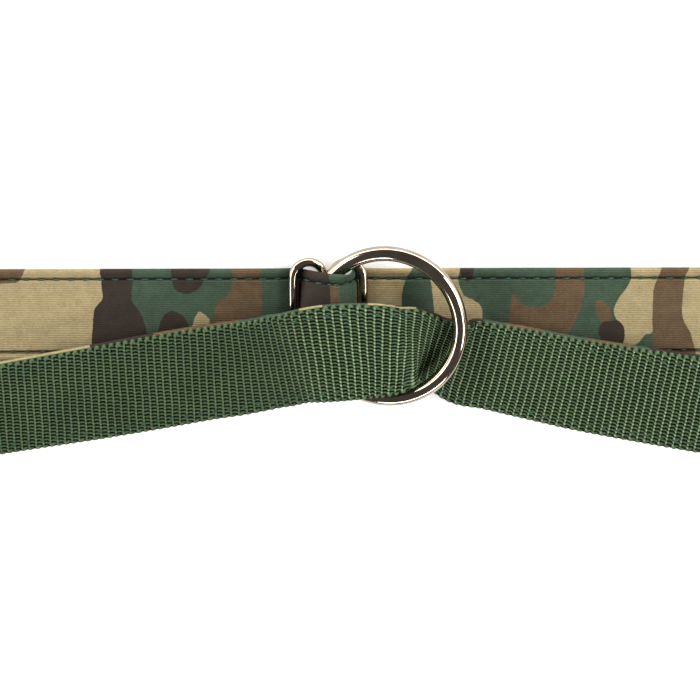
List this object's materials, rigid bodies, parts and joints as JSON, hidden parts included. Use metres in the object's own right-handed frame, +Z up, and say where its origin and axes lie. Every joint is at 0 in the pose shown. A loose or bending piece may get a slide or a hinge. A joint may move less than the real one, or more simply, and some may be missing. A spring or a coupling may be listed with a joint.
{
  "type": "harness strap crossing",
  "caption": "Two padded webbing harness straps crossing through a loose O-ring and a wire slide adjuster, each strap end folded round a rectangular ring.",
  "frame": {"origin": "centre of the part's footprint, on the surface it lies on", "axes": "+X along the far strap, towards the side away from the slide adjuster; +Y across the straps, from the near strap towards the far strap; +Z up"},
  "size_m": [0.3164, 0.0723, 0.0148],
  "materials": {
    "webbing": "coarse ribbed nylon webbing",
    "lining": "matt printed knit lining in four camouflage colours",
    "foam": "closed-cell foam core, inside the lining",
    "thread": "blue-green polyester sewing thread",
    "steel": "polished nickel-plated steel wire"
  },
  "bodies": {
    "far_strap": {"far_webbing": "webbing", "far_foam_core": "foam", "far_lining": "lining", "far_seam_upper": "thread", "far_seam_lower": "thread", "far_fold_left": "webbing", "far_box_stitch_left": "thread", "far_fold_right": "webbing", "far_box_stitch_right": "thread"},
    "near_strap": {"near_webbing": "webbing", "near_foam_core": "foam", "near_lining": "lining", "near_seam_upper": "thread", "near_seam_lower": "thread", "near_fold_left": "webbing", "near_box_stitch_left": "thread", "near_fold_right": "webbing", "near_box_stitch_right": "thread"},
    "slider": {"slider_frame": "steel", "slider_centre_bar": "steel"},
    "o_ring": {"o_ring": "steel"},
    "far_end_ring_left": {"far_end_ring_left": "steel"},
    "far_end_ring_right": {"far_end_ring_right": "steel"},
    "near_end_ring_left": {"near_end_ring_left": "steel"},
    "near_end_ring_right": {"near_end_ring_right": "steel"}
  },
  "joints": [
    {"name": "slider_travel", "type": "slide", "parent": "far_strap", "child": "slider", "axis": [1, 0, 0], "range_m": [-0.006, 0.006], "deforming": ["far_webbing", "far_foam_core", "far_lining", "far_seam_upper", "far_seam_lower"]},
    {"name": "near_strap_feed", "type": "slide", "parent": "slider", "child": "near_strap", "axis": [1, 0, 0], "range_m": [-0.008, 0.008], "deforming": ["near_webbing", "near_foam_core", "near_lining", "near_seam_upper", "near_seam_lower"]},
    {"name": "o_ring_spin", "type": "hinge", "parent": "slider", "child": "o_ring", "pos_m": [0, 0.01455, 0.0084], "axis": [-0.1874, 0, 0.9823], "continuous": true},
    {"name": "far_end_ring_left_swing", "type": "hinge", "parent": "far_strap", "child": "far_end_ring_left", "pos_m": [-0.143, 0.01635, 0.003], "axis": [0, 1, 0], "range_deg": [0, 110]},
    {"name": "near_end_ring_left_swing", "type": "hinge", "parent": "near_strap", "child": "near_end_ring_left", "pos_m": [-0.14242, -0.01749, 0.0036], "axis": [-0.2182, 0.9759, 0], "range_deg": [0, 110]},
    {"name": "far_end_ring_right_swing", "type": "hinge", "parent": "far_strap", "child": "far_end_ring_right", "pos_m": [0.143, 0.01635, 0.003], "axis": [0, -1, 0], "range_deg": [0, 110]},
    {"name": "near_end_ring_right_swing", "type": "hinge", "parent": "near_strap", "child": "near_end_ring_right", "pos_m": [0.14271, -0.01751, 0.0036], "axis": [-0.1545, -0.988, 0], "range_deg": [0, 110]}
  ]
}
